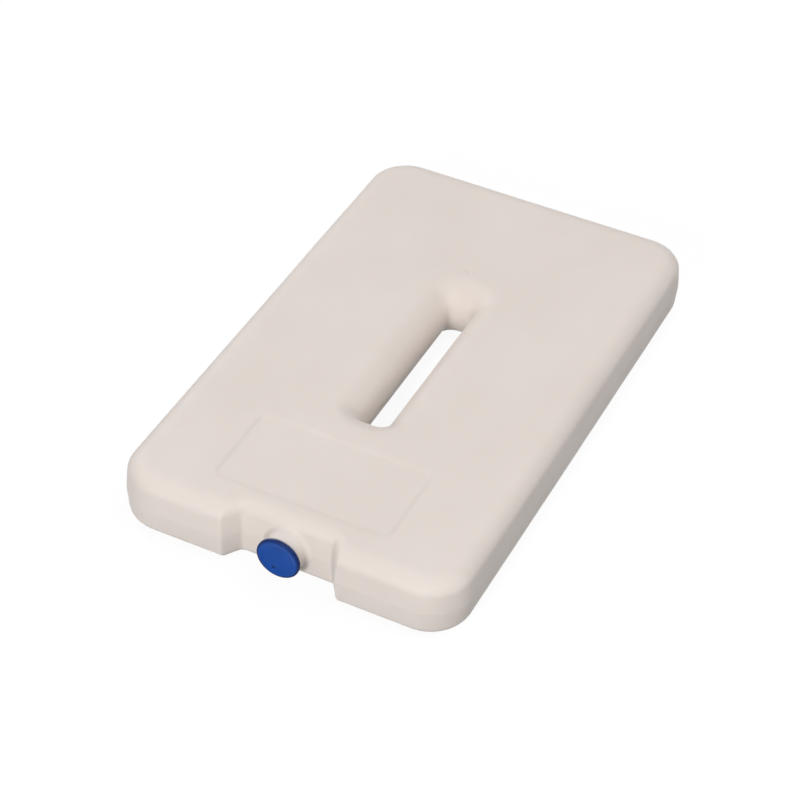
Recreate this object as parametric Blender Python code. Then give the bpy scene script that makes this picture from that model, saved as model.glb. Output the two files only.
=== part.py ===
"""Reusable cooling plate: a sealed blow-moulded slab with a grip slot, and the plug of its filling neck.

Metres, +Z up. The plate lies on its flat underside with its length along Y. The filling
neck is in the notch of the short edge at -Y. The origin is under the middle of the plate.
"""

import math

import bmesh
import bpy

# Plate, measured at the parting line that runs round it at half height
PLATE_LENGTH = 0.2650
PLATE_WIDTH = 0.1625
PLATE_THICKNESS = 0.0300
CORNER_RADIUS = 0.0200
EDGE_REACH = 0.0090
EDGE_DROP = 0.0065
DRAFT_ANGLE = math.radians(5)

# Grip slot through the middle, measured at the parting line, and the funnel that opens to each face
SLOT_LENGTH = 0.0918
SLOT_WIDTH = 0.0117
SLOT_CORNER_RADIUS = 0.0028
SLOT_RIM_REACH = 0.0130
SLOT_RIM_DROP = 0.0145

# Notch in the front short edge, measured at the parting line
NOTCH_MOUTH_WIDTH = 0.0534
NOTCH_FLOOR_WIDTH = 0.0422
NOTCH_DEPTH = 0.0084
NOTCH_EDGE_RADIUS = 0.0058
NOTCH_MOUTH_RADIUS = 0.0016
NOTCH_FLOOR_RADIUS = 0.0015

# Sunk label panel in the top face
LABEL_WIDTH = 0.0850
LABEL_DEPTH = 0.0460
LABEL_FROM_FRONT = 0.0186
LABEL_SINK = 0.0003
LABEL_CORNER_RADIUS = 0.0040
LABEL_STEP_WIDTH = 0.0028

# Round filling neck on the notch's floor, and the bore in it
NECK_RADIUS = 0.0096
NECK_ROOT_RADIUS = 0.0018
NECK_ROOT_SWEEP = math.radians(60)
NECK_LIP_RADIUS = 0.0005
BORE_RADIUS = 0.0080
BORE_MOUTH_CHAMFER = 0.0006
BORE_END_CLEARANCE = 0.0020

# Plug pushed into the neck
FLANGE_RADIUS = 0.0101
FLANGE_THICKNESS = 0.0016
FLANGE_EDGE_RADIUS = 0.0007
FLANGE_BEHIND_FRONT = 0.0007
DISH_RADIUS = 0.0084
DISH_DEPTH = 0.0003
DISH_SLOPE = 0.0007
SHANK_LENGTH = 0.0090
SHANK_WALL = 0.0016
SHANK_LEAD_IN = 0.0008
RIB_HEIGHT = 0.0005
RIB_WIDTH = 0.0012
RIB_PLACES = (0.0028, 0.0058)
SEAT_GAP = 0.0003

# Facets
CORNER_SEGMENTS = 12
EDGE_SEGMENTS = 6
SLOT_RIM_SEGMENTS = 10
SLOT_CORNER_SEGMENTS = 8
NOTCH_CORNER_SEGMENTS = 4
LABEL_CORNER_SEGMENTS = 6
NECK_SEGMENTS = 48
PLUG_SEGMENTS = 64
FILLET_SEGMENTS = 4
SHARP_ANGLE = math.radians(32)

# Places that follow from the sizes above
HALF_THICKNESS = PLATE_THICKNESS / 2
FRONT = -PLATE_LENGTH / 2
FLANGE_FACE = FRONT + FLANGE_BEHIND_FRONT
FLANGE_BACK = FLANGE_FACE + FLANGE_THICKNESS
NECK_FACE = FLANGE_BACK + SEAT_GAP
SHANK_END = FLANGE_BACK + SHANK_LENGTH
BORE_END = SHANK_END + BORE_END_CLEARANCE
RIB_RADIUS = BORE_RADIUS - SEAT_GAP
SHANK_RADIUS = RIB_RADIUS - RIB_HEIGHT

SHELL_COLOUR = (0.74, 0.68, 0.63, 1.0)
PLUG_COLOUR = (0.022, 0.080, 0.310, 1.0)


def clear_scene():
    for obj in list(bpy.data.objects):
        bpy.data.objects.remove(obj, do_unlink=True)


def make_material(name, colour, roughness):
    material = bpy.data.materials.new(name)
    material.use_nodes = True
    shader = material.node_tree.nodes["Principled BSDF"]
    shader.inputs["Base Color"].default_value = colour
    shader.inputs["Roughness"].default_value = roughness
    shader.inputs["Metallic"].default_value = 0.0
    return material


def make_object(name, bm, material):
    """Turns a closed bmesh into an object whose round parts are shaded smooth."""
    bmesh.ops.recalc_face_normals(bm, faces=bm.faces)
    mesh = bpy.data.meshes.new(name)
    bm.to_mesh(mesh)
    bm.free()
    mesh.materials.append(material)
    mesh.shade_smooth()
    mesh.set_sharp_from_angle(angle=SHARP_ANGLE)
    obj = bpy.data.objects.new(name, mesh)
    bpy.context.scene.collection.objects.link(obj)
    return obj


def edge_arc(reach, drop):
    """Centre height, first angle and first height of a wall's rounded edge, counted from the parting line.

    The edge is a quarter of an ellipse that reaches in over the face and drops down the wall.
    It drops no further than to the parting line. The wall leans by the draft angle up to where
    the edge touches it.
    """
    drop = min(drop, HALF_THICKNESS)
    centre_height = HALF_THICKNESS - drop
    touch_angle = math.atan(drop / reach * math.tan(DRAFT_ANGLE))
    return centre_height, touch_angle, centre_height + drop * math.sin(touch_angle)


def drafted_offset(height, reach, drop):
    """How far a drafted wall with a rounded edge lies from its parting line, at a height above it.

    An outer wall moves inwards by this much, the slot's wall outwards.
    """
    centre_height, touch_angle, touch_height = edge_arc(reach, drop)
    if height <= touch_height:
        return height * math.tan(DRAFT_ANGLE)
    sine = min(1.0, (height - centre_height) / (HALF_THICKNESS - centre_height))
    arc_offset = reach * (math.cos(touch_angle) - math.sqrt(1.0 - sine * sine))
    return touch_height * math.tan(DRAFT_ANGLE) + arc_offset


def drafted_levels(reach, drop, segments):
    """Heights from the underside to the top face at which a drafted wall gets a ring of points."""
    centre_height, touch_angle, touch_height = edge_arc(reach, drop)
    above = [0.0]
    for step in range(segments + 1):
        angle = touch_angle + (math.pi / 2 - touch_angle) * step / segments
        above.append(centre_height + (HALF_THICKNESS - centre_height) * math.sin(angle))
    below = [-height for height in reversed(above[1:])]
    return [HALF_THICKNESS + height for height in below + above]


def rounded_outline(lines, corners):
    """Points of a closed outline, anticlockwise from above.

    lines are (normal_x, normal_y, distance) with the normal pointing out of the outline.
    corners[i] is the (radius, segments) of the arc between line i and the next one.
    """
    points = []
    for index, (radius, segments) in enumerate(corners):
        ax, ay, a = lines[index]
        bx, by, b = lines[(index + 1) % len(lines)]
        cross = ax * by - ay * bx
        side = 1.0 if cross > 0 else -1.0
        a_centre = a - side * radius
        b_centre = b - side * radius
        centre_x = (a_centre * by - b_centre * ay) / cross
        centre_y = (ax * b_centre - bx * a_centre) / cross
        start = math.atan2(ay, ax)
        turn = math.asin(max(-1.0, min(1.0, cross)))
        if ax * bx + ay * by < 0:
            turn = side * math.pi - turn
        for step in range(segments + 1):
            angle = start + turn * step / segments
            x = centre_x + side * radius * math.cos(angle)
            y = centre_y + side * radius * math.sin(angle)
            points.append((x, y))
    return points


def rectangle_outline(half_width, low_y, high_y, radius, segments):
    lines = [(1, 0, half_width), (0, 1, high_y), (-1, 0, half_width), (0, -1, -low_y)]
    return rounded_outline(lines, [(radius, segments)] * 4)


def plate_outline(height):
    """The plate's outline, notch included, at a height above or below the parting line."""
    inset = drafted_offset(height, EDGE_REACH, EDGE_DROP)
    notch_inset = drafted_offset(height, NOTCH_EDGE_RADIUS, NOTCH_EDGE_RADIUS)
    half_width = PLATE_WIDTH / 2 - inset
    half_length = PLATE_LENGTH / 2 - inset
    notch_floor = PLATE_LENGTH / 2 - NOTCH_DEPTH
    run = (NOTCH_MOUTH_WIDTH - NOTCH_FLOOR_WIDTH) / 2
    slant = math.hypot(run, NOTCH_DEPTH)
    cheek_x = NOTCH_DEPTH / slant
    cheek_y = -run / slant
    cheek = -cheek_x * NOTCH_MOUTH_WIDTH / 2 - cheek_y * PLATE_LENGTH / 2 - notch_inset
    lines = [
        (1, 0, half_width),
        (0, 1, half_length),
        (-1, 0, half_width),
        (0, -1, half_length),
        (cheek_x, cheek_y, cheek),
        (0, -1, notch_floor - notch_inset),
        (-cheek_x, cheek_y, cheek),
        (0, -1, half_length),
    ]
    plate_corner = (CORNER_RADIUS - inset, CORNER_SEGMENTS)
    mouth_corner = (NOTCH_MOUTH_RADIUS, NOTCH_CORNER_SEGMENTS)
    floor_corner = (NOTCH_FLOOR_RADIUS + notch_inset, NOTCH_CORNER_SEGMENTS)
    corners = [
        plate_corner,
        plate_corner,
        plate_corner,
        mouth_corner,
        floor_corner,
        floor_corner,
        mouth_corner,
        plate_corner,
    ]
    return rounded_outline(lines, corners)


def slot_outline(height):
    flare = drafted_offset(height, SLOT_RIM_REACH, SLOT_RIM_DROP)
    half_length = SLOT_LENGTH / 2 + flare
    radius = SLOT_CORNER_RADIUS + flare
    return rectangle_outline(SLOT_WIDTH / 2 + flare, -half_length, half_length, radius, SLOT_CORNER_SEGMENTS)


def label_outline(inset):
    low_y = FRONT + LABEL_FROM_FRONT
    high_y = low_y + LABEL_DEPTH
    radius = LABEL_CORNER_RADIUS - inset
    return rectangle_outline(LABEL_WIDTH / 2 - inset, low_y + inset, high_y - inset, radius, LABEL_CORNER_SEGMENTS)


def add_ring(bm, outline, z):
    """Adds a closed loop of points at one height and returns its vertices and edges."""
    verts = [bm.verts.new((x, y, z)) for x, y in outline]
    edges = [bm.edges.new((vert, verts[(i + 1) % len(verts)])) for i, vert in enumerate(verts)]
    return verts, edges


def bridge_rings(bm, lower, upper):
    count = len(lower)
    for i in range(count):
        j = (i + 1) % count
        bm.faces.new((lower[i], lower[j], upper[j], upper[i]))


def add_drafted_wall(bm, outline_at, levels):
    """Skins a wall through its outlines and returns the edge loops at the underside and the top."""
    rings = []
    for z in levels:
        rings.append(add_ring(bm, outline_at(abs(z - HALF_THICKNESS)), z))
    for lower, upper in zip(rings, rings[1:]):
        bridge_rings(bm, lower[0], upper[0])
    return rings[0][1], rings[-1][1]


def fill_flat(bm, loops, up):
    edges = [edge for loop in loops for edge in loop]
    bmesh.ops.triangle_fill(bm, edges=edges, use_beauty=True, normal=(0, 0, up))


def add_revolved(bm, profile, segments):
    """Turns (radius, y) points about the plug's axis, which runs along Y at half height.

    The profile starts and ends on the axis, so the turned shape is closed.
    """
    verts = [bm.verts.new((radius, y, HALF_THICKNESS)) for radius, y in profile]
    edges = [bm.edges.new(pair) for pair in zip(verts, verts[1:])]
    bmesh.ops.spin(
        bm,
        geom=verts + edges,
        cent=(0, 0, HALF_THICKNESS),
        axis=(0, 1, 0),
        angle=math.tau,
        steps=segments,
        use_merge=True,
    )
    bmesh.ops.remove_doubles(bm, verts=bm.verts, dist=0.000001)


def arc_points(centre_radius, centre_y, radius, start, end, segments):
    """(radius, y) points of an arc, its angle counted from outwards towards +Y."""
    points = []
    for step in range(segments + 1):
        angle = start + (end - start) * step / segments
        points.append((centre_radius + radius * math.cos(angle), centre_y + radius * math.sin(angle)))
    return points


def make_cutter(name, bm, material):
    obj = make_object(name, bm, material)
    obj.hide_render = True
    obj.display_type = "WIRE"
    return obj


def add_boolean(obj, operation, other):
    modifier = obj.modifiers.new(other.name, "BOOLEAN")
    modifier.operation = operation
    modifier.solver = "EXACT"
    modifier.object = other


def make_plate(material):
    """The sealed shell with its fill: outer wall, slot wall, underside, top face and label panel."""
    bm = bmesh.new()
    plate_levels = drafted_levels(EDGE_REACH, EDGE_DROP, EDGE_SEGMENTS)
    slot_levels = drafted_levels(SLOT_RIM_REACH, SLOT_RIM_DROP, SLOT_RIM_SEGMENTS)
    plate_bottom, plate_top = add_drafted_wall(bm, plate_outline, plate_levels)
    slot_bottom, slot_top = add_drafted_wall(bm, slot_outline, slot_levels)
    label_rim, label_rim_edges = add_ring(bm, label_outline(0.0), PLATE_THICKNESS)
    label_floor, label_floor_edges = add_ring(bm, label_outline(LABEL_STEP_WIDTH), PLATE_THICKNESS - LABEL_SINK)
    bridge_rings(bm, label_floor, label_rim)
    fill_flat(bm, [plate_bottom, slot_bottom], -1)
    fill_flat(bm, [plate_top, slot_top, label_rim_edges], 1)
    fill_flat(bm, [label_floor_edges], 1)
    return make_object("body", bm, material)


def make_neck(material):
    """The filling neck: a short round boss whose root flares into the notch's floor."""
    root_y = FRONT + NOTCH_DEPTH
    end_y = root_y + NECK_RADIUS
    lip = arc_points(
        NECK_RADIUS - NECK_LIP_RADIUS,
        NECK_FACE + NECK_LIP_RADIUS,
        NECK_LIP_RADIUS,
        -math.pi / 2,
        0.0,
        FILLET_SEGMENTS,
    )
    root_centre = NECK_RADIUS + NECK_ROOT_RADIUS
    root = arc_points(
        root_centre,
        root_y - NECK_ROOT_RADIUS * math.sin(NECK_ROOT_SWEEP),
        NECK_ROOT_RADIUS,
        math.pi,
        math.pi - NECK_ROOT_SWEEP,
        FILLET_SEGMENTS,
    )
    root_rim = root[-1][0]
    profile = [(0.0, NECK_FACE)] + lip + root + [(root_rim, end_y), (0.0, end_y)]
    bm = bmesh.new()
    add_revolved(bm, profile, NECK_SEGMENTS)
    return make_cutter("neck_form", bm, material)


def make_bore(material):
    """The bore that the plug goes into, with a chamfered mouth."""
    outside_y = FRONT - BORE_RADIUS
    profile = [
        (0.0, outside_y),
        (BORE_RADIUS + BORE_MOUTH_CHAMFER + NECK_FACE - outside_y, outside_y),
        (BORE_RADIUS, NECK_FACE + BORE_MOUTH_CHAMFER),
        (BORE_RADIUS, BORE_END),
        (0.0, BORE_END),
    ]
    bm = bmesh.new()
    add_revolved(bm, profile, NECK_SEGMENTS)
    return make_cutter("bore_form", bm, material)


def make_plug(material):
    """The filler plug: a round-edged flange with a shallow dish in its face, and a hollow ribbed shank."""
    rim = arc_points(
        FLANGE_RADIUS - FLANGE_EDGE_RADIUS,
        FLANGE_FACE + FLANGE_EDGE_RADIUS,
        FLANGE_EDGE_RADIUS,
        -math.pi / 2,
        0.0,
        FILLET_SEGMENTS,
    )
    dish_y = FLANGE_FACE + DISH_DEPTH
    profile = [(0.0, dish_y), (DISH_RADIUS - DISH_SLOPE, dish_y), (DISH_RADIUS, FLANGE_FACE)] + rim
    profile += [(FLANGE_RADIUS, FLANGE_BACK), (SHANK_RADIUS, FLANGE_BACK)]
    for place in RIB_PLACES:
        rib_y = FLANGE_BACK + place
        profile += [
            (SHANK_RADIUS, rib_y - RIB_WIDTH / 2),
            (RIB_RADIUS, rib_y - RIB_WIDTH / 4),
            (RIB_RADIUS, rib_y),
            (SHANK_RADIUS, rib_y + RIB_WIDTH / 2),
        ]
    core_radius = SHANK_RADIUS - SHANK_WALL
    profile += [
        (SHANK_RADIUS, SHANK_END - SHANK_LEAD_IN),
        (SHANK_RADIUS - SHANK_LEAD_IN, SHANK_END),
        (core_radius, SHANK_END),
        (core_radius, FLANGE_BACK),
        (0.0, FLANGE_BACK),
    ]
    bm = bmesh.new()
    add_revolved(bm, profile, PLUG_SEGMENTS)
    return make_object("filler_plug", bm, material)


def main():
    clear_scene()
    shell = make_material("white_shell", SHELL_COLOUR, 0.45)
    blue = make_material("blue_plug", PLUG_COLOUR, 0.30)
    body = make_plate(shell)
    add_boolean(body, "UNION", make_neck(shell))
    add_boolean(body, "DIFFERENCE", make_bore(shell))
    make_plug(blue)


main()
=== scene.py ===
# %% [markdown]
# # A reusable cooling plate
# The object is a flat slab of white polyethylene, blown in a two-part mould, filled with a freezing
# gel through a round neck in one short edge and closed for life by a pressed-in blue plug. We start
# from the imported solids, which fix every size, and make finer pieces that stand in their place:
# moulded edges, a faint mould line, a soft step round the label panel and skins that look like plastic.

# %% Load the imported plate
import math

import bmesh
import bpy
import numpy as np
from mathutils import Matrix, Vector, kdtree, noise
from mathutils.geometry import delaunay_2d_cdt


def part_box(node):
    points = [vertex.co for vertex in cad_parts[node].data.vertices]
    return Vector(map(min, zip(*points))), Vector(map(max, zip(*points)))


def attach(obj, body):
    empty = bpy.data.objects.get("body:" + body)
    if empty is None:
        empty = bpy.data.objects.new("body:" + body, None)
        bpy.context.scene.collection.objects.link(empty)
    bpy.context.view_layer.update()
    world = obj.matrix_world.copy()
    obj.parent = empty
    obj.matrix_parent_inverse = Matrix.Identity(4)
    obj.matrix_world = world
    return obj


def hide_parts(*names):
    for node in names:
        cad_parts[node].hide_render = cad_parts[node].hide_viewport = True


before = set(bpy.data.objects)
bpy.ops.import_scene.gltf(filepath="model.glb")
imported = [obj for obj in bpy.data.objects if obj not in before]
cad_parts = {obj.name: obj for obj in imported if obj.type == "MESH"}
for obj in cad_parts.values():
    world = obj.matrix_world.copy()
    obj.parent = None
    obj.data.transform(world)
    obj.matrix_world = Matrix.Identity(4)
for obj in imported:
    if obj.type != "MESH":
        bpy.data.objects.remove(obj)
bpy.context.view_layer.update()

plate_low, plate_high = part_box("body")
plug_low, plug_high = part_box("filler_plug")
PLATE_WIDTH = plate_high[0] - plate_low[0]
PLATE_LENGTH = plate_high[1] - plate_low[1]
PLATE_THICKNESS = plate_high[2] - plate_low[2]
HALF_THICKNESS = PLATE_THICKNESS / 2
FRONT = plate_low[1]
print("plate", [round(side * 1000, 1) for side in (PLATE_WIDTH, PLATE_LENGTH, PLATE_THICKNESS)], "mm")

# %% [markdown]
# ## The wall of a blown plate
# A blow mould opens at half the plate's height. Each half has draft, so the wall leans a few degrees
# away from that line, and a generous round edge carries it into the flat face. The edge reaches
# further over the face than it drops down the wall, so it is a quarter of an ellipse. Inside the grip
# slot that quarter takes up nearly the whole wall and opens it like a funnel, so that fingers slide in.
# The wall could be bevelled from a box, but a formula for its lean and its arc is exact, and it serves
# the outer wall, the notch and the slot alike. Where the two mould halves met, the soft plastic rounded
# the turn of the wall, and a line is left that stands up by a twentieth of a millimetre.

# %% How far the wall lies from the mould line
DRAFT_ANGLE = math.radians(5)
# Each edge is given as (how far it reaches over the face, how far it drops down the wall).
PLATE_EDGE = (0.0090, 0.0065)
NOTCH_EDGE = (0.0058, 0.0058)
SLOT_RIM = (0.0130, 0.0145)
LEAN_ROUNDING = 0.0014
MOULD_LINE_HEIGHT = 0.00005
MOULD_LINE_HALF_WIDTH = 0.00030
ARC_STEPS = 16
WALL_STEP = 0.0011


def touch_angle(edge):
    """Where on the edge's arc the leaning wall touches it, from level outwards."""
    reach, drop = edge
    return math.atan(drop / reach * math.tan(DRAFT_ANGLE))


def lean(height):
    """How far the leaning wall has moved at a height, its turn at the mould line rounded off."""
    return math.tan(DRAFT_ANGLE) * (math.hypot(height, LEAN_ROUNDING) - LEAN_ROUNDING)


def wall_offset(height, edge):
    """Distance of the wall from the mould line's outline, at a height above or below that line."""
    reach, drop = edge
    height = abs(height)
    line_step = MOULD_LINE_HEIGHT * min(1.0, height / MOULD_LINE_HALF_WIDTH)
    arc_height = HALF_THICKNESS - drop
    touch = touch_angle(edge)
    touch_height = arc_height + drop * math.sin(touch)
    if height <= touch_height:
        return line_step + lean(height)
    sine = min(1.0, (height - arc_height) / drop)
    arc_offset = reach * (math.cos(touch) - math.sqrt(1.0 - sine * sine))
    return line_step + lean(touch_height) + arc_offset


def wall_heights(edge):
    """Heights, counted from the mould line, at which the wall gets a ring of points."""
    drop = edge[1]
    touch = touch_angle(edge)
    touch_height = HALF_THICKNESS - drop + drop * math.sin(touch)
    above = [MOULD_LINE_HALF_WIDTH / 2, MOULD_LINE_HALF_WIDTH, MOULD_LINE_HALF_WIDTH * 2]
    wall_steps = max(1, round(touch_height / WALL_STEP))
    above += [touch_height * step / wall_steps for step in range(1, wall_steps)]
    for step in range(ARC_STEPS + 1):
        angle = touch + (math.pi / 2 - touch) * step / ARC_STEPS
        above.append(HALF_THICKNESS - drop + drop * math.sin(angle))
    return [-height for height in reversed(above)] + [0.0] + above


print("outer wall rings:", len(wall_heights(PLATE_EDGE)))

# %% [markdown]
# ## Outlines with round corners
# Seen from above, the plate, the slot and the label panel are all polygons whose corners are rounded.
# We state each as straight lines, given by a normal and a distance, with a radius between each two.
# Moving the lines in or out then gives the outline at any height, with the same number of points, so
# that the rings can be joined into a skin. A long straight run gets extra points of its own.

# %% Round-cornered outlines
RUN_STEP = 0.0040


def rounded_outline(lines, corners):
    """Arcs between lines (normal_x, normal_y, distance), anticlockwise; corners are (radius, steps)."""
    arcs = []
    for index, (radius, steps) in enumerate(corners):
        ax, ay, a = lines[index]
        bx, by, b = lines[(index + 1) % len(lines)]
        cross = ax * by - ay * bx
        side = 1.0 if cross > 0 else -1.0
        centre_x = ((a - side * radius) * by - (b - side * radius) * ay) / cross
        centre_y = (ax * (b - side * radius) - bx * (a - side * radius)) / cross
        start = math.atan2(ay, ax)
        turn = math.asin(max(-1.0, min(1.0, cross)))
        if ax * bx + ay * by < 0:
            turn = side * math.pi - turn
        reach = side * radius
        angles = [start + turn * step / steps for step in range(steps + 1)]
        arcs.append([
            (centre_x + reach * math.cos(angle), centre_y + reach * math.sin(angle)) for angle in angles
        ])
    return arcs


def run_counts(arcs):
    """How many pieces each straight run between two arcs is cut into."""
    runs = [math.dist(arcs[i - 1][-1], arcs[i][0]) for i in range(len(arcs))]
    return [max(1, round(run / RUN_STEP)) for run in runs]


def closed_points(arcs, counts):
    """One list of points: each arc, after the extra points of the straight run that leads to it."""
    points = []
    for index, arc in enumerate(arcs):
        (ax, ay), (bx, by) = arcs[index - 1][-1], arc[0]
        for step in range(1, counts[index]):
            share = step / counts[index]
            points.append((ax + (bx - ax) * share, ay + (by - ay) * share))
        points += arc
    return points


def rectangle(half_width, low_y, high_y, radius, steps):
    """The arcs of a rectangle that lies evenly to both sides of the middle."""
    lines = [(1, 0, half_width), (0, 1, high_y), (-1, 0, half_width), (0, -1, -low_y)]
    return rounded_outline(lines, [(radius, steps)] * 4)


print("longest piece of a straight run: about", RUN_STEP * 1000, "mm")

# %% [markdown]
# ## The outlines of the plate and the slot
# The front edge of the plate dips into a shallow notch, which keeps the plug out of harm's way. Its
# cheeks slant, so that the mould lets go of them, and its corners are the tightest on the plate. The
# slot is a rectangle whose corner radius grows as the funnel opens. Both outlines are a function of the
# height alone, since the wall's formula tells how far each line has moved there.

# %% Outlines at any height
CORNER_RADIUS = 0.0200
NOTCH_MOUTH_WIDTH = 0.0534
NOTCH_FLOOR_WIDTH = 0.0422
NOTCH_DEPTH = 0.0084
NOTCH_MOUTH_RADIUS = 0.0016
NOTCH_FLOOR_RADIUS = 0.0015
SLOT_LENGTH = 0.0918
SLOT_WIDTH = 0.0117
SLOT_CORNER_RADIUS = 0.0028
CORNER_STEPS = 24
NOTCH_CORNER_STEPS = 8
SLOT_CORNER_STEPS = 14


def plate_arcs(height):
    """The plate's outline with its notch, at a height above or below the mould line."""
    inset = wall_offset(height, PLATE_EDGE)
    notch_inset = wall_offset(height, NOTCH_EDGE)
    half_width = PLATE_WIDTH / 2 - inset
    half_length = PLATE_LENGTH / 2 - inset
    run = (NOTCH_MOUTH_WIDTH - NOTCH_FLOOR_WIDTH) / 2
    slant = math.hypot(run, NOTCH_DEPTH)
    cheek_x, cheek_y = NOTCH_DEPTH / slant, -run / slant
    cheek = -cheek_x * NOTCH_MOUTH_WIDTH / 2 - cheek_y * PLATE_LENGTH / 2 - notch_inset
    lines = [
        (1, 0, half_width),
        (0, 1, half_length),
        (-1, 0, half_width),
        (0, -1, half_length),
        (cheek_x, cheek_y, cheek),
        (0, -1, PLATE_LENGTH / 2 - NOTCH_DEPTH - notch_inset),
        (-cheek_x, cheek_y, cheek),
        (0, -1, half_length),
    ]
    corner = (CORNER_RADIUS - inset, CORNER_STEPS)
    mouth = (NOTCH_MOUTH_RADIUS, NOTCH_CORNER_STEPS)
    floor = (NOTCH_FLOOR_RADIUS + notch_inset, NOTCH_CORNER_STEPS)
    return rounded_outline(lines, [corner, corner, corner, mouth, floor, floor, mouth, corner])


def slot_arcs(height):
    """The slot's outline at a height above or below the mould line."""
    flare = wall_offset(height, SLOT_RIM)
    half_width, half_length = SLOT_WIDTH / 2 + flare, SLOT_LENGTH / 2 + flare
    return rectangle(half_width, -half_length, half_length, SLOT_CORNER_RADIUS + flare, SLOT_CORNER_STEPS)


middle_arcs = plate_arcs(0.0)
print("points round the plate:", len(closed_points(middle_arcs, run_counts(middle_arcs))))

# %% [markdown]
# ## Skinning the walls
# Each wall is a stack of rings, joined ring to ring with four-sided faces. This is a loft, the way a
# designer would draw the wall: it keeps the faces even, and the arcs stay smooth under a raking light.

# %% Loft a wall through its rings
def add_loop(bm, points, z):
    """Adds points at one height and returns them."""
    return [bm.verts.new((x, y, z)) for x, y in points]


def add_wall(bm, arcs_at, edge):
    """Skins a wall and returns its lowest and its highest ring."""
    counts = run_counts(arcs_at(0.0))
    rings = []
    for height in wall_heights(edge):
        rings.append(add_loop(bm, closed_points(arcs_at(height), counts), HALF_THICKNESS + height))
    for lower, upper in zip(rings, rings[1:]):
        for i in range(len(lower)):
            j = (i + 1) % len(lower)
            bm.faces.new((lower[i], lower[j], upper[j], upper[i]))
    return rings[0], rings[-1]


shell_form = bmesh.new()
plate_bottom, plate_top = add_wall(shell_form, plate_arcs, PLATE_EDGE)
slot_bottom, slot_top = add_wall(shell_form, slot_arcs, SLOT_RIM)
print("wall faces:", len(shell_form.faces))

# %% [markdown]
# ## The marks in the top face
# The mould pressed a shallow panel into the top face, where a label can be stuck. Its step is a
# quarter of a millimetre deep and soft at both edges. Behind the slot the mould has a vent the size of
# a lentil, and its slotted face left a faint round mark. We could carve both out of the finished face,
# but one function that gives their depth at each place is simpler, and it can't tear the mesh.

# %% Depth of the label panel and the vent mark
LABEL_WIDTH = 0.0850
LABEL_DEPTH = 0.0460
LABEL_FROM_FRONT = 0.0186
LABEL_SINK = 0.00024
LABEL_CORNER_RADIUS = 0.0060
LABEL_STEP_WIDTH = 0.0028
VENT_CENTRE = (-0.0047, 0.0644)
VENT_RADIUS = 0.0034
VENT_GROOVE_DEPTH = 0.00040
VENT_GROOVE_PITCH = 0.0018

LABEL_LOW_Y = FRONT + LABEL_FROM_FRONT
LABEL_HIGH_Y = LABEL_LOW_Y + LABEL_DEPTH
LABEL_MIDDLE_Y = (LABEL_LOW_Y + LABEL_HIGH_Y) / 2


def smooth_step(share):
    """0 up to a share of 0, 1 from a share of 1, and a soft rise between them."""
    share = max(0.0, min(1.0, share))
    return share * share * (3 - 2 * share)


def label_distance(x, y):
    """Distance inside the panel's outline, and below zero outside it."""
    side_x = abs(x) - (LABEL_WIDTH / 2 - LABEL_CORNER_RADIUS)
    side_y = abs(y - LABEL_MIDDLE_Y) - (LABEL_DEPTH / 2 - LABEL_CORNER_RADIUS)
    beyond = math.hypot(max(side_x, 0.0), max(side_y, 0.0)) + min(max(side_x, side_y), 0.0)
    return LABEL_CORNER_RADIUS - beyond


def mark_depth(x, y):
    """How deep the panel and the vent mark are sunk at a place of the top face."""
    depth = LABEL_SINK * smooth_step(label_distance(x, y) / LABEL_STEP_WIDTH)
    from_vent = math.dist((x, y), VENT_CENTRE)
    if from_vent < VENT_RADIUS:
        groove = 0.5 - 0.5 * math.cos(math.tau * (x - VENT_CENTRE[0]) / VENT_GROOVE_PITCH)
        depth += VENT_GROOVE_DEPTH * groove * smooth_step((VENT_RADIUS - from_vent) / VENT_GROOVE_PITCH)
    return depth


print("depth in the middle of the panel:", mark_depth(0.0, LABEL_MIDDLE_Y))

# %% [markdown]
# ## Points where the face bends
# A face can only bend where it has points. A fine grid all over would do, but with many times the
# points. So we draw loops along the panel's step and round the vent, close enough together to carry
# the curve of the depth, and the rest of the face can stay coarse.

# %% Loops along the marks
LABEL_LOOPS = 7
LABEL_CORNER_STEPS = 10
VENT_LOOPS = 10
VENT_STEPS = 40


def label_loops():
    """Loops from the outer to the inner edge of the panel's step."""
    loops = []
    for index in range(LABEL_LOOPS):
        inset = LABEL_STEP_WIDTH * index / (LABEL_LOOPS - 1)
        low_y, high_y = LABEL_LOW_Y + inset, LABEL_HIGH_Y - inset
        half_width, radius = LABEL_WIDTH / 2 - inset, LABEL_CORNER_RADIUS - inset
        arcs = rectangle(half_width, low_y, high_y, radius, LABEL_CORNER_STEPS)
        loops.append(closed_points(arcs, run_counts(arcs)))
    return loops


def vent_loops():
    """Circles round the middle of the vent mark."""
    x, y = VENT_CENTRE
    angles = [math.tau * step / VENT_STEPS for step in range(VENT_STEPS)]
    radii = [VENT_RADIUS * index / VENT_LOOPS for index in range(1, VENT_LOOPS + 1)]
    return [[(x + radius * math.cos(a), y + radius * math.sin(a)) for a in angles] for radius in radii]


top_loops = label_loops() + vent_loops()
print("points along the marks:", sum(len(loop) for loop in top_loops))

# %% [markdown]
# ## Filling the flat faces
# A single large polygon would do for a flat face, but nothing could then be pressed into it, and it
# would shade badly at the rims. Blender can join scattered points into well-shaped triangles while it
# keeps given edges, which is called a constrained Delaunay triangulation. We give it the rims, the
# loops along each step and a staggered grid of points between them, and drop what lies in the slot.

# %% Triangulate a face round its rims and marks
GRID_STEP = 0.0032
GRID_CLEARANCE = 0.6
SAME_POINT = 0.0000001


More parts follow.
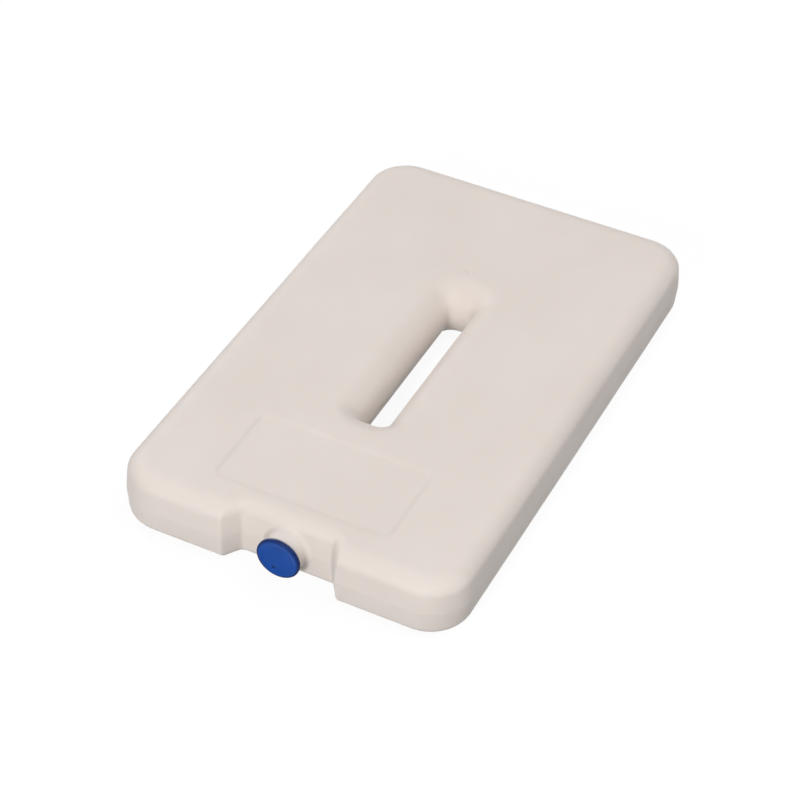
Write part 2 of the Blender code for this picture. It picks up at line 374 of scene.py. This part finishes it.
def inside(outline, points):
    """Whether each point lies inside: a ray from it then crosses the outline an odd number of times."""
    result = np.zeros(len(points), dtype=bool)
    for (ax, ay), (bx, by) in zip(outline, outline[1:] + outline[:1]):
        if ay == by:
            continue
        crosses = (points[:, 1] < max(ay, by)) & (points[:, 1] >= min(ay, by))
        result ^= crosses & (points[:, 0] < ax + (points[:, 1] - ay) * (bx - ax) / (by - ay))
    return result


def grid_points(loops):
    """A staggered grid over the plate, kept clear of the loops' own points."""
    near = kdtree.KDTree(sum(len(loop) for loop in loops))
    for index, (x, y) in enumerate(point for loop in loops for point in loop):
        near.insert((x, y, 0), index)
    near.balance()
    points = []
    row_step = GRID_STEP * math.sqrt(3) / 2
    for row in range(math.ceil(PLATE_LENGTH / row_step)):
        y = FRONT + row * row_step
        for column in range(math.ceil(PLATE_WIDTH / GRID_STEP)):
            x = (column + row % 2 / 2) * GRID_STEP - PLATE_WIDTH / 2
            if near.find((x, y, 0))[2] > GRID_STEP * GRID_CLEARANCE:
                points.append((x, y))
    return points


def fill_face(bm, rim, hole, mark_loops, height_at):
    """Fills the face between a rim and a hole with triangles, and returns how many."""
    rim_points = [vert.co.xy.to_tuple() for vert in rim]
    hole_points = [vert.co.xy.to_tuple() for vert in hole]
    loops = [rim_points, hole_points] + mark_loops
    loose = np.array(grid_points(loops))
    loose = loose[inside(rim_points, loose) & ~inside(hole_points, loose)]
    verts = list(rim) + list(hole)
    for x, y in [point for loop in mark_loops for point in loop] + loose.tolist():
        verts.append(bm.verts.new((x, y, height_at(x, y))))
    edges = []
    for loop in loops:
        first = len(edges)
        edges += [(first + i, first + (i + 1) % len(loop)) for i in range(len(loop))]
    flat = [Vector(vert.co.xy) for vert in verts]
    _, _, triangles, sources, _, _ = delaunay_2d_cdt(flat, edges, [], 0, SAME_POINT)
    corners = np.array(triangles)
    middles = np.array([source[0] for source in sources])[corners]
    centres = np.array(flat)[middles].mean(axis=1)
    kept = inside(rim_points, centres) & ~inside(hole_points, centres)
    for triangle in middles[kept].tolist():
        bm.faces.new([verts[index] for index in triangle])
    return int(kept.sum())


def top_height(x, y):
    return PLATE_THICKNESS - mark_depth(x, y)


def underside_height(x, y):
    return 0.0


top_count = fill_face(shell_form, plate_top, slot_top, top_loops, top_height)
under_count = fill_face(shell_form, plate_bottom, slot_bottom, [], underside_height)
print("triangles in the top face and the underside:", top_count, under_count)

# %% [markdown]
# ## The unevenness of a blown wall
# A blown wall is never quite flat: it cools against the mould on one side only, and shrinks a little
# more where it is thick. Seen in a soft light, that makes broad, shallow waves. We push each point
# inwards, along its own normal, by a slow noise of up to a quarter of a millimetre. Only ever pushing
# inwards keeps the plate within its true size.

# %% Let the shell sink in shallow waves
WAVE_DEPTH = 0.00022
WAVE_LENGTH = 0.048
RIPPLE_DEPTH = 0.00004
RIPPLE_LENGTH = 0.014


def sink_at(place):
    """How far the wall has sunk in at a place."""
    wave = 0.5 + 0.5 * noise.noise(place / WAVE_LENGTH)
    ripple = 0.5 + 0.5 * noise.noise(place / RIPPLE_LENGTH)
    return WAVE_DEPTH * wave + RIPPLE_DEPTH * ripple


bmesh.ops.recalc_face_normals(shell_form, faces=shell_form.faces)
shell_form.normal_update()
sunk = [vert.co - vert.normal * sink_at(vert.co) for vert in shell_form.verts]
for vert, place in zip(shell_form.verts, sunk):
    vert.co = place
print("shell points:", len(shell_form.verts))

# %% [markdown]
# ## The filling neck
# The gel is poured in through a short round neck on the notch's floor. It has a lip, a straight wall
# and a hollow fillet at its root. The floor it stands on is curved, so the fillet can't be a turned
# form: each of its rings follows the floor at its own distance, and runs into it without a crease.
# We join the neck to the shell with a Boolean union, and then bore it with a Boolean difference. First
# come the helpers that make and join such round forms.

# %% Helpers for round forms and for joining them
TURN_STEPS = 96
FILLET_STEPS = 8
MERGE_DISTANCE = 0.000001


def arc_points(centre_radius, centre_y, radius, start, end):
    """(radius, y) points of an arc, its angle counted from outwards towards the back of the plate."""
    angles = [start + (end - start) * step / FILLET_STEPS for step in range(FILLET_STEPS + 1)]
    return [(centre_radius + radius * math.cos(a), centre_y + radius * math.sin(a)) for a in angles]


def turned(section):
    """Spins (radius, y) points, which start and end on the axis, into a closed form."""
    bm = bmesh.new()
    verts = [bm.verts.new((radius, y, HALF_THICKNESS)) for radius, y in section]
    edges = [bm.edges.new(pair) for pair in zip(verts, verts[1:])]
    bmesh.ops.spin(
        bm,
        geom=verts + edges,
        cent=(0, 0, HALF_THICKNESS),
        axis=(0, 1, 0),
        angle=math.tau,
        steps=TURN_STEPS,
        use_merge=True,
    )
    bmesh.ops.remove_doubles(bm, verts=bm.verts, dist=MERGE_DISTANCE)
    return bm


def ringed(rings):
    """Joins equal rings of places into a closed form, with a flat face over the first and the last."""
    bm = bmesh.new()
    rings = [[bm.verts.new(place) for place in ring] for ring in rings]
    for outer, inner in zip(rings, rings[1:]):
        for i in range(len(outer)):
            j = (i + 1) % len(outer)
            bm.faces.new((outer[i], outer[j], inner[j], inner[i]))
    bm.faces.new(rings[0])
    bm.faces.new(reversed(rings[-1]))
    return bm


def object_from(name, bm):
    """Turns a finished form into a named object of the scene."""
    bmesh.ops.recalc_face_normals(bm, faces=bm.faces)
    mesh = bpy.data.meshes.new(name)
    bm.to_mesh(mesh)
    bm.free()
    obj = bpy.data.objects.new(name, mesh)
    bpy.context.scene.collection.objects.link(obj)
    return obj


def combine(obj, operation, tool):
    """Joins or cuts with another closed form, keeps the result and removes that form."""
    modifier = obj.modifiers.new(operation, "BOOLEAN")
    modifier.operation = operation
    modifier.solver = "EXACT"
    modifier.object = tool
    result = obj.evaluated_get(bpy.context.evaluated_depsgraph_get())
    obj.data = bpy.data.meshes.new_from_object(result)
    obj.modifiers.clear()
    bpy.data.objects.remove(tool, do_unlink=True)


print("steps round each turned form:", TURN_STEPS)

# %% [markdown]
# ## Joining and boring the neck
# The neck is a stack of rings too: a rounded lip in front, then the fillet, whose rings lie at a set
# distance from the sunk floor, and a last ring well inside the wall, so that the two forms overlap and
# the union is clean. The bore is turned. It starts as a cone, which chamfers the mouth, and it ends
# a little behind the plug's shank.

# %% Join the neck and bore it
NECK_RADIUS = 0.0096
NECK_ROOT_RADIUS = 0.0030
NECK_ROOT_SWEEP = math.radians(84)
NECK_ROOT_SINK = 0.00003
NECK_LIP_RADIUS = 0.0005
BORE_RADIUS = 0.0080
BORE_MOUTH_CHAMFER = 0.0006
BORE_END_CLEARANCE = 0.0020
SEAT_GAP = 0.0003
FLANGE_THICKNESS = 0.0016

FLANGE_FACE = plug_low[1]
FLANGE_BACK = FLANGE_FACE + FLANGE_THICKNESS
SHANK_END = plug_high[1]
NECK_FACE = FLANGE_BACK + SEAT_GAP


def notch_floor_y(x, height):
    """How far back the sunk floor of the notch lies, at a height above or below the mould line."""
    y = FRONT + NOTCH_DEPTH + wall_offset(height, NOTCH_EDGE)
    return y + sink_at(Vector((x, y, HALF_THICKNESS + height)))


def neck_ring(radius, y_at):
    """A ring round the neck's axis, each of its points as far back as y_at says."""
    ring = []
    for step in range(TURN_STEPS):
        angle = math.tau * step / TURN_STEPS
        x, height = radius * math.cos(angle), radius * math.sin(angle)
        ring.append((x, y_at(x, height), HALF_THICKNESS + height))
    return ring


lip_centre = (NECK_RADIUS - NECK_LIP_RADIUS, NECK_FACE + NECK_LIP_RADIUS)
root_centre = (NECK_RADIUS + NECK_ROOT_RADIUS, -NECK_ROOT_RADIUS)
neck_rings = []
for radius, y in arc_points(*lip_centre, NECK_LIP_RADIUS, -math.pi / 2, 0.0):
    neck_rings.append(neck_ring(radius, lambda x, height: y))
for radius, y in arc_points(*root_centre, NECK_ROOT_RADIUS, math.pi, math.pi - NECK_ROOT_SWEEP):
    neck_rings.append(neck_ring(radius, lambda x, height: notch_floor_y(x, height) + y + NECK_ROOT_SINK))
root_rim = NECK_RADIUS + NECK_ROOT_RADIUS * (1 - math.cos(NECK_ROOT_SWEEP))
inside_y = FRONT + NOTCH_DEPTH + NECK_RADIUS
neck_rings.append(neck_ring(root_rim, lambda x, height: inside_y))

outside_y = FRONT - BORE_RADIUS
bore_section = [
    (0.0, outside_y),
    (BORE_RADIUS + BORE_MOUTH_CHAMFER + NECK_FACE - outside_y, outside_y),
    (BORE_RADIUS, NECK_FACE + BORE_MOUTH_CHAMFER),
    (BORE_RADIUS, SHANK_END + BORE_END_CLEARANCE),
    (0.0, SHANK_END + BORE_END_CLEARANCE),
]
shell = object_from("plate_shell", shell_form)
combine(shell, "UNION", object_from("neck_form", ringed(neck_rings)))
combine(shell, "DIFFERENCE", object_from("bore_form", turned(bore_section)))
print("shell faces with the neck:", len(shell.data.polygons))

# %% [markdown]
# ## The blue plug
# The plug is an injection-moulded cap: a flange that seats on the neck's lip, with a shallow dish in
# its face, and a hollow shank with two ribs. On the real plug they bite into the bore. Here they stop
# a little short of it, so that the two forms never touch. It is round all over, so one section tells
# its whole form: we list its points from the middle of the face round to the middle of the shank's
# inside, and turn them.

# %% The plug's section
FLANGE_RADIUS = (plug_high[0] - plug_low[0]) / 2
FLANGE_EDGE_RADIUS = 0.0007
FLANGE_BACK_RADIUS = 0.0003
DISH_RADIUS = 0.0084
DISH_DEPTH = 0.0003
DISH_SLOPE = 0.0014
DISH_STEPS = 6
SHANK_WALL = 0.0016
SHANK_LEAD_IN = 0.0008
RIB_HEIGHT = 0.0005
RIB_WIDTH = 0.0012
RIB_PLACES = (0.0028, 0.0058)
RIB_RADIUS = BORE_RADIUS - SEAT_GAP
SHANK_RADIUS = RIB_RADIUS - RIB_HEIGHT

plug_section = [(0.0, FLANGE_FACE + DISH_DEPTH)]
for step in range(DISH_STEPS + 1):
    share = step / DISH_STEPS
    dish_radius = DISH_RADIUS - DISH_SLOPE * (1 - share)
    plug_section.append((dish_radius, FLANGE_FACE + DISH_DEPTH * (1 - smooth_step(share))))
edge_centre = (FLANGE_RADIUS - FLANGE_EDGE_RADIUS, FLANGE_FACE + FLANGE_EDGE_RADIUS)
back_centre = (FLANGE_RADIUS - FLANGE_BACK_RADIUS, FLANGE_BACK - FLANGE_BACK_RADIUS)
plug_section += arc_points(*edge_centre, FLANGE_EDGE_RADIUS, -math.pi / 2, 0.0)
plug_section += arc_points(*back_centre, FLANGE_BACK_RADIUS, 0.0, math.pi / 2)
plug_section.append((SHANK_RADIUS, FLANGE_BACK))
for place in RIB_PLACES:
    rib_y = FLANGE_BACK + place
    plug_section += [
        (SHANK_RADIUS, rib_y - RIB_WIDTH / 2),
        (RIB_RADIUS, rib_y - RIB_WIDTH / 4),
        (RIB_RADIUS, rib_y),
        (SHANK_RADIUS, rib_y + RIB_WIDTH / 2),
    ]
core_radius = SHANK_RADIUS - SHANK_WALL
plug_section += [
    (SHANK_RADIUS, SHANK_END - SHANK_LEAD_IN),
    (SHANK_RADIUS - SHANK_LEAD_IN, SHANK_END),
    (core_radius, SHANK_END),
    (core_radius, FLANGE_BACK),
    (0.0, FLANGE_BACK),
]
print("points in the plug's section:", len(plug_section))

# %% [markdown]
# ## The gate mark
# The plastic entered the plug's mould rather more than half-way out from the middle of its face. Where
# the gate was broken off, a small dimple is left. Its points could be pushed in one by one, but a
# little ball, taken away from the plug, leaves a round dimple at once.

# %% Turn the plug and cut its gate mark
GATE_PLACE = (-0.0020, 0.0095)
GATE_BALL_RADIUS = 0.0008
GATE_DEPTH = 0.00045
GATE_SUBDIVISIONS = 3

plug = object_from("plug_cap", turned(plug_section))
gate_ball = bmesh.new()
bmesh.ops.create_icosphere(gate_ball, subdivisions=GATE_SUBDIVISIONS, radius=GATE_BALL_RADIUS)
gate_y = FLANGE_FACE + DISH_DEPTH + GATE_DEPTH - GATE_BALL_RADIUS
bmesh.ops.translate(gate_ball, verts=gate_ball.verts, vec=(GATE_PLACE[0], gate_y, GATE_PLACE[1]))
combine(plug, "DIFFERENCE", object_from("gate_form", gate_ball))
print("plug faces:", len(plug.data.polygons))

# %% [markdown]
# ## Painted shade on the label panel's side steps
# The two side steps of the label panel get a painted shade: a slightly darker white. We store it on
# the mesh, as a named number at each point, which the shell's finish can read: 1 half-way up a side
# step and 0 elsewhere.

# %% Store where the painted shade falls on the side steps
PAINTED_STEP_SHADE = "painted_step_shade"
TOP_FACE_REACH = 0.0012


def painted_step_shade_at(vert):
    """1 half-way up a side step, falling to 0 at its edges and where the step turns to face Y."""
    place, normal = vert.co, vert.normal
    share = label_distance(place.x, place.y) / LABEL_STEP_WIDTH
    tilt = normal.x**2 + normal.y**2
    if place.z < PLATE_THICKNESS - TOP_FACE_REACH or not 0 < share < 1 or tilt == 0:
        return 0.0
    sideways = normal.x**2 / tilt
    return 4 * share * (1 - share) * smooth_step(2 * sideways - 1)


# painted shade on the label panel's side steps, read by the shell's finish
painted_step_shade = shell.data.attributes.new(PAINTED_STEP_SHADE, "FLOAT", "POINT")
painted_step_shade.data.foreach_set("value", [painted_step_shade_at(vert) for vert in shell.data.vertices])
print("points on the side steps:", sum(1 for point in painted_step_shade.data if point.value > 0))

# %% [markdown]
# ## Smooth shading
# Flat facets would show all over a moulded form, so Blender is told to blend the light across them.
# Only edges that turn by more than 34 degrees stay crisp, such as those of the shank's ribs.

# %% Shade the pieces
SHARP_ANGLE = math.radians(34)
for piece in (shell, plug):
    piece.data.shade_smooth()
    piece.data.set_sharp_from_angle(angle=SHARP_ANGLE)
    print(piece.name, "has", sum(1 for edge in piece.data.edges if edge.use_edge_sharp), "crisp edges")

# %% [markdown]
# ## Two plastics
# Both pieces are polyethylene, but they look different. The shell came from a sand-blasted mould, so
# it is satin: a fine grain breaks up its reflections, faint die lines run along it where the soft
# tube was drawn, and its white is warm and not perfectly even. The plug came from a polished mould
# and is dyed through. Both finishes are built from noise, so they need no picture. The helpers below
# each add what one step of a finish needs and return what comes out of it, so that a finish reads
# like a recipe.

# %% Helpers for noise-driven finishes
# Noise stays mostly between these two values.
NOISE_LOW = 0.35
NOISE_HIGH = 0.65


def new_finish(name):
    """A new material, its nodes, its links and the node of its skin."""
    material = bpy.data.materials.new(name)
    material.use_nodes = True
    nodes = material.node_tree.nodes
    return material, nodes, material.node_tree.links, nodes["Principled BSDF"]


def add_noise(nodes, links, scale, detail, stretch=(1.0, 1.0, 1.0)):
    """Noise in the object's own metres; scale is its waves per metre."""
    place = nodes.new("ShaderNodeTexCoord")
    spread = nodes.new("ShaderNodeMapping")
    spread.inputs["Scale"].default_value = stretch
    grain = nodes.new("ShaderNodeTexNoise")
    grain.inputs["Scale"].default_value = scale
    grain.inputs["Detail"].default_value = detail
    links.new(place.outputs["Object"], spread.inputs["Vector"])
    links.new(spread.outputs["Vector"], grain.inputs["Vector"])
    return grain.outputs["Fac"]


def add_range(nodes, links, source, low, high):
    """Turns noise into a value between low and high."""
    reach = nodes.new("ShaderNodeMapRange")
    reach.inputs["From Min"].default_value = NOISE_LOW
    reach.inputs["From Max"].default_value = NOISE_HIGH
    reach.inputs["To Min"].default_value = low
    reach.inputs["To Max"].default_value = high
    links.new(source, reach.inputs["Value"])
    return reach.outputs["Result"]


def add_mix(nodes, links, share, first, second):
    """Mixes two colours by a share; the first is a plain colour or what another node makes."""
    mix = nodes.new("ShaderNodeMix")
    mix.data_type = "RGBA"
    if isinstance(first, tuple):
        mix.inputs["A"].default_value = first
    else:
        links.new(first, mix.inputs["A"])
    mix.inputs["B"].default_value = second
    links.new(share, mix.inputs["Factor"])
    return mix.outputs["Result"]


def add_bump(nodes, links, height, distance, strength, under=None):
    """Tilts the surface by a height; distance is its depth in metres, under a bump that comes first."""
    bump = nodes.new("ShaderNodeBump")
    bump.inputs["Distance"].default_value = distance
    bump.inputs["Strength"].default_value = strength
    links.new(height, bump.inputs["Height"])
    if under is not None:
        links.new(under, bump.inputs["Normal"])
    return bump.outputs["Normal"]


print("noise is read between", NOISE_LOW, "and", NOISE_HIGH)

# %% [markdown]
# ### The shell's satin white
# The colour drifts between two close whites over a few centimetres, because the wall's thickness
# and so its cloudiness varies, and a painted shade makes it darker on the label panel's side steps.
# Roughness drifts too.
# Two bumps make the skin: the fine grain of the sand-blasted mould, and the long, very shallow die
# lines, which are a noise stretched along the plate. Light goes a few millimetres into this plastic and
# comes out again, red the furthest, which softens the shade in the slot.

# %% The shell's finish
SHELL_PALE = (0.820, 0.748, 0.698, 1.0)
SHELL_DEEP = (0.800, 0.726, 0.674, 1.0)
SHELL_STEP_SHADE = (0.762, 0.693, 0.646, 1.0)
SHELL_ROUGHNESS = (0.48, 0.58)
SHELL_GLOSS = 0.32
SHELL_GLOW = 0.30
SHELL_GLOW_SPREAD = (1.0, 0.85, 0.70)
SHELL_GLOW_DEPTH = 0.006
# Each noise is given as (waves per metre, detail), each bump as (depth, strength).
CLOUD_NOISE = (26.0, 4.0)
SATIN_NOISE = (70.0, 5.0)
DIE_LINE_NOISE = (160.0, 3.0)
DIE_LINE_STRETCH = (1.0, 0.04, 1.0)
DIE_LINE_BUMP = (0.00006, 0.5)
BLAST_NOISE = (1500.0, 2.0)
BLAST_BUMP = (0.00003, 0.6)

white_shell, nodes, links, skin = new_finish("satin_white_polyethylene")
cloud = add_range(nodes, links, add_noise(nodes, links, *CLOUD_NOISE), 0.0, 1.0)
white = add_mix(nodes, links, cloud, SHELL_PALE, SHELL_DEEP)
# painted shade: a darker white on the label panel's side steps
step_shade_places = nodes.new("ShaderNodeAttribute")
step_shade_places.attribute_name = PAINTED_STEP_SHADE
white = add_mix(nodes, links, step_shade_places.outputs["Fac"], white, SHELL_STEP_SHADE)
satin = add_range(nodes, links, add_noise(nodes, links, *SATIN_NOISE), *SHELL_ROUGHNESS)
die_lines = add_noise(nodes, links, *DIE_LINE_NOISE, stretch=DIE_LINE_STRETCH)
blast_grain = add_noise(nodes, links, *BLAST_NOISE)
lines_bump = add_bump(nodes, links, die_lines, *DIE_LINE_BUMP)
links.new(white, skin.inputs["Base Color"])
links.new(satin, skin.inputs["Roughness"])
links.new(add_bump(nodes, links, blast_grain, *BLAST_BUMP, under=lines_bump), skin.inputs["Normal"])
skin.inputs["Specular IOR Level"].default_value = SHELL_GLOSS
skin.inputs["Subsurface Weight"].default_value = SHELL_GLOW
skin.inputs["Subsurface Radius"].default_value = SHELL_GLOW_SPREAD
skin.inputs["Subsurface Scale"].default_value = SHELL_GLOW_DEPTH
print("nodes in the shell's finish:", len(nodes))

# %% [markdown]
# ### The plug's blue
# The dye is even, with only a trace of flow marks from the gate. A painted shade darkens the blue
# towards the rim of the flange, which hangs over the dark gap behind it, and another painted shade
# darkens the gate's dimple. The distances from the plug's axis and from the gate drive that. The skin
# is smoother than the shell's, with a fine orange-peel.

# %% The plug's finish
PLUG_BLUE = (0.006, 0.070, 0.360, 1.0)
PLUG_BLUE_DEEP = (0.004, 0.062, 0.325, 1.0)
PLUG_PAINTED_SHADE_BLUE = (0.004, 0.024, 0.130, 1.0)
RIM_SHADE_FROM = 0.0087
RIM_SHADE_TO = 0.0095
GATE_SHADE_FROM = 0.0011
GATE_SHADE_TO = 0.0004
PLUG_ROUGHNESS = (0.36, 0.46)
PLUG_GLOSS = 0.16
FLOW_NOISE = (120.0, 3.0)
SHEEN_NOISE = (400.0, 3.0)
PEEL_NOISE = (900.0, 2.0)
PEEL_BUMP = (0.00003, 0.4)


def add_painted_shade_by_distance(nodes, links, colour, x, z, shade_from, shade_to):
    """Mixes in a painted shade of blue by the distance, in metres, from a line along Y through x and z.
    """
    place = nodes.new("ShaderNodeTexCoord")
    across = nodes.new("ShaderNodeMapping")
    across.inputs["Location"].default_value = (-x, 0.0, -z)
    across.inputs["Scale"].default_value = (1.0, 0.0, 1.0)
    distance = nodes.new("ShaderNodeVectorMath")
    distance.operation = "LENGTH"
    share = nodes.new("ShaderNodeMapRange")
    share.interpolation_type = "SMOOTHSTEP"
    share.inputs["From Min"].default_value = shade_from
    share.inputs["From Max"].default_value = shade_to
    links.new(place.outputs["Object"], across.inputs["Vector"])
    links.new(across.outputs["Vector"], distance.inputs[0])
    links.new(distance.outputs["Value"], share.inputs["Value"])
    return add_mix(nodes, links, share.outputs["Result"], colour, PLUG_PAINTED_SHADE_BLUE)


blue_plug, nodes, links, skin = new_finish("blue_polyethylene")
flow = add_range(nodes, links, add_noise(nodes, links, *FLOW_NOISE), 0.0, 1.0)
blue = add_mix(nodes, links, flow, PLUG_BLUE, PLUG_BLUE_DEEP)
# painted shade at the rim of the flange
blue = add_painted_shade_by_distance(nodes, links, blue, 0.0, HALF_THICKNESS, RIM_SHADE_FROM, RIM_SHADE_TO)
# painted shade in the dimple of the gate mark
blue = add_painted_shade_by_distance(nodes, links, blue, *GATE_PLACE, GATE_SHADE_FROM, GATE_SHADE_TO)
sheen = add_range(nodes, links, add_noise(nodes, links, *SHEEN_NOISE), *PLUG_ROUGHNESS)
links.new(blue, skin.inputs["Base Color"])
links.new(sheen, skin.inputs["Roughness"])
links.new(add_bump(nodes, links, add_noise(nodes, links, *PEEL_NOISE), *PEEL_BUMP), skin.inputs["Normal"])
skin.inputs["Specular IOR Level"].default_value = PLUG_GLOSS
print("nodes in the plug's finish:", len(nodes))

# %% [markdown]
# ## Putting the pieces on the frame
# Each piece says which imported node it stands for, takes its finish and rides on a body. Nothing
# moves on this plate, so both ride on the one root body.

# %% Attach the pieces
dressed = [
    # piece, finish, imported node, material slot
    (shell, white_shell, "body", "white_shell"),
    (plug, blue_plug, "filler_plug", "blue_plug"),
]
for piece, finish, node, slot in dressed:
    piece.data.materials.clear()
    piece.data.materials.append(finish)
    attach(piece, "root")
    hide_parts(node)
    print(piece.name, "stands for", node)

# %% [markdown]
# ## The floor
# The plate is seen on white with hardly a shadow. To the light, the floor is a plain grey board that
# sends a little light back up. To the camera it glows almost white by itself, and only a small part of
# what is seen depends on the light that falls on it, so the plate's shadow stays, but faint.

# %% Lay the floor
FLOOR_SIZE = 6.0
FLOOR_DROP = 0.0001
FLOOR_GREY = (0.35, 0.35, 0.35, 1.0)
FLOOR_GLOW = 0.915
FLOOR_SHADOW_SHARE = (0.115, 0.115, 0.115, 1.0)

floor_form = bmesh.new()
bmesh.ops.create_grid(floor_form, x_segments=1, y_segments=1, size=FLOOR_SIZE / 2)
floor = object_from("studio_floor", floor_form)
floor.location.z = -FLOOR_DROP


def seen_directly(nodes, links):
    """1 for what the camera sees, also in a reflection or through something clear, and 0 for light."""
    path = nodes.new("ShaderNodeLightPath")
    seen = path.outputs["Is Camera Ray"]
    for other in ("Is Glossy Ray", "Is Transmission Ray"):
        either = nodes.new("ShaderNodeMath")
        either.operation = "MAXIMUM"
        links.new(seen, either.inputs[0])
        links.new(path.outputs[other], either.inputs[1])
        seen = either.outputs["Value"]
    return seen


board = bpy.data.materials.new("studio_white")
board.use_nodes = True
nodes, links = board.node_tree.nodes, board.node_tree.links
nodes.clear()
to_light = nodes.new("ShaderNodeBsdfDiffuse")
to_light.inputs["Color"].default_value = FLOOR_GREY
shadow_part = nodes.new("ShaderNodeBsdfDiffuse")
shadow_part.inputs["Color"].default_value = FLOOR_SHADOW_SHARE
glow = nodes.new("ShaderNodeEmission")
glow.inputs["Strength"].default_value = FLOOR_GLOW
to_camera = nodes.new("ShaderNodeAddShader")
choice = nodes.new("ShaderNodeMixShader")
surface = nodes.new("ShaderNodeOutputMaterial")
links.new(glow.outputs["Emission"], to_camera.inputs[0])
links.new(shadow_part.outputs["BSDF"], to_camera.inputs[1])
links.new(seen_directly(nodes, links), choice.inputs["Fac"])
links.new(to_light.outputs["BSDF"], choice.inputs[1])
links.new(to_camera.outputs["Shader"], choice.inputs[2])
links.new(choice.outputs["Shader"], surface.inputs["Surface"])
floor.data.materials.append(board)
print("floor:", FLOOR_SIZE, "m wide")

# %% [markdown]
# ## The light
# The picture has the even light of a catalogue studio. A soft box more than a metre wide hangs high on
# the right. Two smaller lamps stand low in front: they light the front wall as brightly as the top,
# and they reach down into the grip slot's funnel, whose sides they leave in a soft shade. A wider lamp
# behind on the left keeps the slot's right rim as bright as the face it runs into, and two weak ones
# lift the back. The long right wall gets less than the front. Even the smallest lamp is wider than the
# plate is long, since a bare bulb would draw hard shadows, of which the picture has none.

# %% Stand the soft boxes round the plate
SOFT_BOX_DISTANCE = 1.6
SOFT_BOXES = [
    # name, degrees round from the front towards the right, degrees up, width, watts
    ("front_low", 0, 15, 0.35, 3.6),
    ("front_lifted", 0, 25, 0.35, 12.3),
    ("right_high", 90, 55, 1.2, 9.8),
    ("back_right_low", 120, 25, 1.2, 3.4),
    ("back_high", 180, 60, 0.35, 3.6),
    ("back_left_low", 240, 30, 0.80, 9.6),
]


def add_soft_box(name, azimuth, elevation, width, power):
    """Hangs a square lamp at a set distance and turns it towards the plate."""
    light = bpy.data.lights.new(name, "AREA")
    light.shape = "SQUARE"
    light.size = width
    light.energy = power
    azimuth, elevation = math.radians(azimuth), math.radians(elevation)
    level = math.cos(elevation)
    direction = Vector((math.sin(azimuth) * level, -math.cos(azimuth) * level, math.sin(elevation)))
    lamp = bpy.data.objects.new(name, light)
    lamp.location = direction * SOFT_BOX_DISTANCE
    lamp.rotation_euler = direction.to_track_quat("Z", "Y").to_euler()
    bpy.context.scene.collection.objects.link(lamp)


for soft_box in SOFT_BOXES:
    add_soft_box(*soft_box)
watts = sum(power for _, _, _, _, power in SOFT_BOXES)
print("soft boxes:", len(SOFT_BOXES), "with", round(watts, 1), "watts in all")

# %% [markdown]
# ## The room
# A dim, even light from all round fills in what the lamps miss. What the camera sees behind the floor
# is plain white all the same: as with the floor, what is seen and what gives light are set apart.

# %% Fill the room with a little light
ROOM_LEVEL = 0.02
SEEN_LEVEL = 1.0
WHITE = (1.0, 1.0, 1.0, 1.0)

room = bpy.data.worlds.new("pale_room")
room.use_nodes = True
nodes, links = room.node_tree.nodes, room.node_tree.links
nodes.clear()
room_light = nodes.new("ShaderNodeBackground")
room_light.inputs["Strength"].default_value = ROOM_LEVEL
room_seen = nodes.new("ShaderNodeBackground")
room_seen.inputs["Strength"].default_value = SEEN_LEVEL
for backdrop in (room_light, room_seen):
    backdrop.inputs["Color"].default_value = WHITE
choice = nodes.new("ShaderNodeMixShader")
surface = nodes.new("ShaderNodeOutputWorld")
links.new(seen_directly(nodes, links), choice.inputs["Fac"])
links.new(room_light.outputs["Background"], choice.inputs[1])
links.new(room_seen.outputs["Background"], choice.inputs[2])
links.new(choice.outputs["Shader"], surface.inputs["Surface"])
bpy.context.scene.world = room
print("light from all round:", ROOM_LEVEL)

# %% [markdown]
# ## The camera
# The plate is seen from its front right, well above it, through a long lens and from about a metre
# away. The numbers come from matching the plate's outline, slot and plug, so the plate fills the
# frame as it should. The camera is aimed a little beside the plate's middle instead of being shifted.

# %% Place the camera
CAMERA_AZIMUTH = math.radians(24.973)
CAMERA_ELEVATION = math.radians(41.392)
CAMERA_ROLL = math.radians(2.252)
CAMERA_DISTANCE = 1.062893
AIM_RIGHT = -0.007884
AIM_UP = -0.010602
SENSOR_WIDTH = 36.0
PICTURE_PIXELS = 800
FOCAL_PIXELS = 2350.3

side_x, side_y = math.cos(CAMERA_AZIMUTH), math.sin(CAMERA_AZIMUTH)
level = math.cos(CAMERA_ELEVATION)
back = Vector((side_y * level, -side_x * level, math.sin(CAMERA_ELEVATION)))
flat_right = Vector((side_x, side_y, 0.0))
flat_up = back.cross(flat_right)
right = flat_right * math.cos(CAMERA_ROLL) + flat_up * math.sin(CAMERA_ROLL)
up = flat_up * math.cos(CAMERA_ROLL) - flat_right * math.sin(CAMERA_ROLL)
aim = Vector((0.0, 0.0, HALF_THICKNESS)) + right * AIM_RIGHT + up * AIM_UP

lens = bpy.data.cameras.new("camera")
lens.sensor_width = SENSOR_WIDTH
lens.lens = FOCAL_PIXELS * SENSOR_WIDTH / PICTURE_PIXELS
camera = bpy.data.objects.new("camera", lens)
turn = Matrix((right, up, back)).transposed()
camera.matrix_world = Matrix.Translation(aim + back * CAMERA_DISTANCE) @ turn.to_4x4()
bpy.context.scene.collection.objects.link(camera)
bpy.context.scene.camera = camera
bpy.context.scene.view_settings.view_transform = "Standard"
print("camera at", [round(value, 4) for value in camera.matrix_world.translation])
